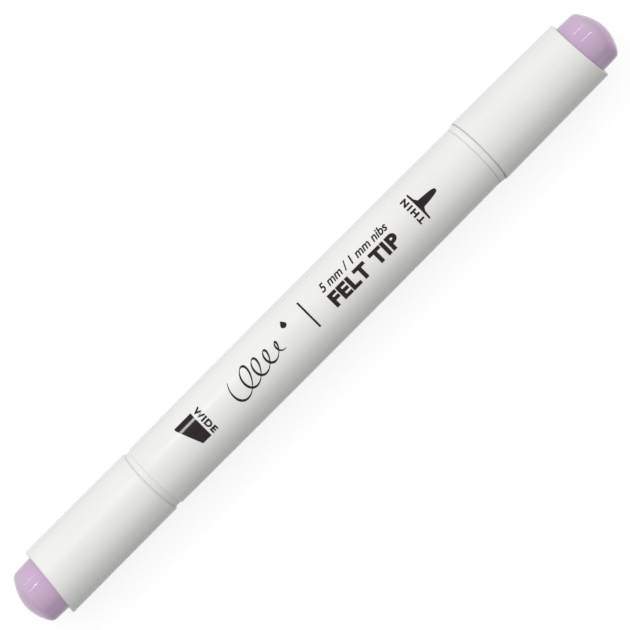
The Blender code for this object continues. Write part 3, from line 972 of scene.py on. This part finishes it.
def make_cap(end, mouth_radius, end_radius, mouth_edge, lean, sizes):
    """One cap's shell, liner and end plug; end is "broad" or "fine"."""
    place = BROAD_END if end == "broad" else FINE_END
    plug_bore = PLUG_RADIUS + PRESS_GAP
    shell = turned(rounded([
        (CAP_MOUTH, CAP_BORE, 0.25 * MM),
        (CAP_MOUTH, mouth_radius, mouth_edge),
        (CAP_RIM, end_radius, RIM_ROUND),
        (CAP_RIM, plug_bore, 0.06 * MM),
        (LINER_END, plug_bore, 0.04 * MM),
        (LINER_END, CAP_BORE, 0.04 * MM)]))
    slant(shell, CAP_RIM - 3 * RIM_ROUND, sizes.rim_tilt, lean)
    shell.transform(place)
    fitted(end + "_shell", shell, WHITE, end + "_cap", "white_plastic", end + "_cap_shell")

    top = PLUG_RADIUS - PLUG_DRAFT
    inside = top - PLUG_WALL
    dome = []
    for step in range(DOME_STEPS - EDGE_STEPS - 1, -1, -1):
        radius = top * step / DOME_STEPS
        gate = GATE_DEPTH * max(0.0, 1 - (radius / GATE_RADIUS) ** 2)
        dome.append((PLUG_EDGE + sizes.dome_height * (1 - (radius / top) ** 2) - gate, radius, 0))
    plug = turned(rounded([
        (PLUG_EDGE - PLUG_WALL, 0, 0),
        (PLUG_EDGE - PLUG_WALL, inside, 0.4 * MM),
        (PLUG_START, inside, 0.1 * MM),
        (PLUG_START, PLUG_RADIUS, 0.25 * MM),
        (CAP_RIM, PLUG_RADIUS, 0.5 * MM),
        (PLUG_EDGE, top, PLUG_EDGE_ROUND),
        *dome]), closed=False)
    slant(plug, PLUG_EDGE - 2 * PLUG_WALL, sizes.plug_tilt, lean)
    plug.transform(place)
    fitted(end + "_plug", plug, LAVENDER, end + "_cap", "lavender_plastic", end + "_cap_end_plug")

    bore = LINER_RADIUS - LINER_WALL
    bead = (NECK_START + NECK_END) / 2
    liner = turned(rounded([
        (LINER_END - LINER_WALL, 0, 0),
        (LINER_END - LINER_WALL, bore, 0.5 * MM),
        (bead + GROOVE_HALF, bore, 0.05 * MM),
        (bead + GROOVE_FLOOR, bore + GROOVE_DEPTH, 0.05 * MM),
        (bead - GROOVE_FLOOR, bore + GROOVE_DEPTH, 0.05 * MM),
        (bead - GROOVE_HALF, bore, 0.05 * MM),
        (LINER_START, bore, 0.3 * MM),
        (LINER_START, LINER_RADIUS, 0.2 * MM),
        (LINER_END, LINER_RADIUS, 0.2 * MM),
        (LINER_END, 0, 0)]), closed=False)
    liner.transform(place)
    fitted(
        end + "_liner", liner, NATURAL, end + "_cap_carrier", "liner_plastic", end + "_cap_liner")


# ---- operators ---------------------------------------------------------------------------------

class MARKER_OT_finishes(bpy.types.Operator):
    """Make the plastics, ink, felt, fibre and film that the pieces are finished in"""

    bl_idname = "marker.finishes"
    bl_label = "Finishes"

    def execute(self, context):
        make_finishes(context.scene.marker_colours)
        return {"FINISHED"}


class MARKER_OT_barrel(bpy.types.Operator):
    """Build the crowned barrel"""

    bl_idname = "marker.barrel"
    bl_label = "Barrel"

    def execute(self, context):
        mesh = crowned_tube(context.scene.marker_sizes)
        fitted("barrel", mesh, WHITE, "marker_body", "white_plastic", "barrel_tube")
        return {"FINISHED"}


class MARKER_OT_print(bpy.types.Operator):
    """Print the plain words, the nib signs and the pen loops on the barrel"""

    bl_idname = "marker.print"
    bl_label = "Printed Marks"

    def execute(self, context):
        layout = print_layout(context.scene.marker_words)
        mesh = printed_layer(layout, context.scene.marker_sizes)
        fitted("printed_marks", mesh, INK, "marker_body", "print_ink")
        return {"FINISHED"}


class MARKER_OT_holders(bpy.types.Operator):
    """Build the two nib holders and the ribs on their necks"""

    bl_idname = "marker.holders"
    bl_label = "Nib Holders"

    def execute(self, context):
        sizes = context.scene.marker_sizes
        bore = sizes.barrel_middle_radius - BARREL_WALL
        make_broad_holder(bore, sizes)
        make_fine_holder(bore, sizes)
        for end, place in (("broad", BROAD_END), ("fine", FINE_END)):
            ribs = neck_ribs(sizes.rib_count)
            ribs.transform(place)
            fitted(end + "_neck_ribs", ribs, HOLDER, "marker_body", "holder_plastic")
        return {"FINISHED"}


class MARKER_OT_nibs(bpy.types.Operator):
    """Build the chisel nib and the bullet nib"""

    bl_idname = "marker.nibs"
    bl_label = "Nibs"

    def execute(self, context):
        make_nibs()
        return {"FINISHED"}


class MARKER_OT_reservoir(bpy.types.Operator):
    """Finish the ink core and its film sleeve, whose frame shapes are kept"""

    bl_idname = "marker.reservoir"
    bl_label = "Ink Reservoir"

    def execute(self, context):
        for node, finish in (("ink_reservoir_core", FIBRE), ("reservoir_film_sleeve", FILM)):
            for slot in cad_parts[node].material_slots:
                slot.material = bpy.data.materials[finish]
        return {"FINISHED"}


class MARKER_OT_caps(bpy.types.Operator):
    """Build both caps, each a shell, a liner and an end plug"""

    bl_idname = "marker.caps"
    bl_label = "Caps"

    def execute(self, context):
        sizes = context.scene.marker_sizes
        make_cap("broad", sizes.broad_cap_mouth_radius, sizes.broad_cap_end_radius,
                 sizes.broad_mouth_edge, -sizes.broad_lean, sizes)
        make_cap("fine", sizes.fine_cap_mouth_radius, sizes.fine_cap_end_radius,
                 sizes.fine_mouth_edge, sizes.fine_lean, sizes)
        return {"FINISHED"}


def softbox(name, radiance, size, aim, direction, distance):
    """An area light of a (length along X, width) that shines on aim from a direction."""
    light = bpy.data.lights.new(name, "AREA")
    light.shape, light.size, light.size_y = "RECTANGLE", *size
    light.energy = radiance * math.pi * size[0] * size[1]
    lamp = shown(name, light)
    out = Vector(direction).normalized()
    across = out.cross(Vector((1, 0.001, 0))).normalized()
    along = across.cross(out)
    lamp.matrix_world = Matrix((along, across, out)).transposed().to_4x4()
    lamp.location = Vector(aim) + out * distance
    lamp.visible_camera = False
    return lamp


def towards_plus_y(degrees, lean_x=0.0):
    """A direction that leans from straight up towards +Y, and by lean_x towards +X."""
    angle = math.radians(degrees)
    return (lean_x, math.sin(angle), math.cos(angle))


def hang_windows(stage, middle):
    """Two windows over the broad end, and two small lamps over each end plug."""
    softbox("window", stage.window, WINDOW_SIZE, middle + Vector((WINDOW_AIM, 0, 0)),
            towards_plus_y(WINDOW_LEAN), LIGHT_REACH)
    softbox("cap window", stage.window * CAP_WINDOW_SHARE, CAP_WINDOW_SIZE,
            middle + Vector((CAP_WINDOW_AIM, 0, 0)), towards_plus_y(CAP_WINDOW_LEAN), LIGHT_REACH)
    for side, lamps in LAMPS.items():
        plug = middle + Vector((side * PLUG_AIM, 0, 0))
        for lean, outward in lamps:
            softbox("small lamp", stage.lamp, LAMP_SIZE, plug,
                    towards_plus_y(lean, outward * side), LIGHT_REACH)
        softbox("end box", stage.end_box, END_BOX_SIZE, plug, (side, *END_BOX_SIDE), END_BOX_REACH)


def soft_dome(stage):
    """A world that is a half dome of even light, leaning towards +Y, and dim behind."""
    world = bpy.data.worlds.new("soft dome")
    world.use_nodes = True
    dome = Graph(world.node_tree)
    direction = dome.node("ShaderNodeTexCoord").outputs["Generated"]
    facing = dome.node("ShaderNodeVectorMath", {"operation": "DOT_PRODUCT"},
                       {0: direction, 1: towards_plus_y(math.degrees(stage.dome_lean))})
    fade = dome.node(
        "ShaderNodeMapRange", {"interpolation_type": "SMOOTHSTEP"},
        {"Value": facing.outputs["Value"], "From Min": HORIZON[0], "From Max": HORIZON[1]})
    light = dome.node("ShaderNodeMix", {"data_type": "RGBA"},
                      {0: fade.outputs["Result"], 6: (BEHIND, BEHIND, BEHIND, 1), 7: (1, 1, 1, 1)})
    background = world.node_tree.nodes["Background"]
    background.inputs["Strength"].default_value = stage.dome
    dome.set(background.inputs["Color"], light.outputs[2])
    return world


class MARKER_OT_stage(bpy.types.Operator):
    """Lay the floor, hang the lights and set the camera"""

    bl_idname = "marker.stage"
    bl_label = "Stage"

    def execute(self, context):
        stage = context.scene.marker_stage
        middle = Vector((0, 0, AXIS_HEIGHT))

        paper = Finish(FLOOR, Roughness=0.9, Specular_IOR_Level=0.1)
        tooth = paper.noise(300, detail=3)
        paper.colour(tooth, (1, 1, 1), 0.21, 0.23)
        paper.bump(tooth, 0.05 * MM)
        paper.shader.inputs["Emission Color"].default_value = (1, 1, 1, 1)
        paper.shader.inputs["Emission Strength"].default_value = SHEET_GLOW
        sheet = bmesh.new()
        bmesh.ops.create_grid(sheet, x_segments=8, y_segments=8, size=SHEET_HALF)
        floor = shown("floor", taken(sheet))
        floor.data.materials.append(paper.material)
        floor.visible_diffuse = floor.visible_shadow = False

        hang_windows(stage, middle)
        world = soft_dome(stage)
        context.scene.world = world
        context.scene.view_settings.view_transform = "Standard"

        camera = bpy.data.cameras.new("camera")
        camera.lens, camera.sensor_width = stage.lens, 36
        camera.clip_start, camera.clip_end = 10 * MM, 20
        back = Vector((0, -math.cos(stage.elevation), math.sin(stage.elevation)))
        level_up = Vector((0, math.sin(stage.elevation), math.cos(stage.elevation)))
        right = math.cos(stage.roll) * Vector((1, 0, 0)) - math.sin(stage.roll) * level_up
        up = math.sin(stage.roll) * Vector((1, 0, 0)) + math.cos(stage.roll) * level_up
        eye = shown("camera", camera)
        eye.matrix_world = Matrix((right, up, back)).transposed().to_4x4()
        eye.location = (middle + EYE_SHIFT[0] * right + EYE_SHIFT[1] * up + stage.distance * back)
        context.scene.camera = eye
        return {"FINISHED"}


class MARKER_PT_sidebar(bpy.types.Panel):
    """Sizes, colours and words of the marker, and the steps that build it"""

    bl_idname = "MARKER_PT_sidebar"
    bl_label = "Twin Tip Marker"
    bl_space_type = "VIEW_3D"
    bl_region_type = "UI"
    bl_category = "Marker"

    def draw(self, context):
        scene = context.scene
        for group in (scene.marker_sizes, scene.marker_colours, scene.marker_words,
                      scene.marker_stage):
            box = self.layout.box()
            for name in group.__annotations__:
                box.prop(group, name)
        for step in STEPS:
            self.layout.operator(step.bl_idname)


STEPS = (MARKER_OT_finishes, MARKER_OT_stage, MARKER_OT_barrel, MARKER_OT_print,
         MARKER_OT_holders, MARKER_OT_nibs, MARKER_OT_reservoir, MARKER_OT_caps)
GROUPS = {"marker_sizes": MarkerSizes, "marker_colours": MarkerColours,
          "marker_words": MarkerWords, "marker_stage": MarkerStage}


def register():
    for group in GROUPS.values():
        bpy.utils.register_class(group)
    for step in STEPS:
        bpy.utils.register_class(step)
    bpy.utils.register_class(MARKER_PT_sidebar)
    for name, group in GROUPS.items():
        setattr(bpy.types.Scene, name, PointerProperty(type=group))


def unregister():
    for name in GROUPS:
        delattr(bpy.types.Scene, name)
    bpy.utils.unregister_class(MARKER_PT_sidebar)
    for step in STEPS:
        bpy.utils.unregister_class(step)
    for group in GROUPS.values():
        bpy.utils.unregister_class(group)


def main():
    register()
    bpy.ops.marker.finishes()
    bpy.ops.marker.stage()
    bpy.ops.marker.barrel()
    bpy.ops.marker.print()
    bpy.ops.marker.holders()
    bpy.ops.marker.nibs()
    bpy.ops.marker.reservoir()
    bpy.ops.marker.caps()


if __name__ == "__main__":
    main()
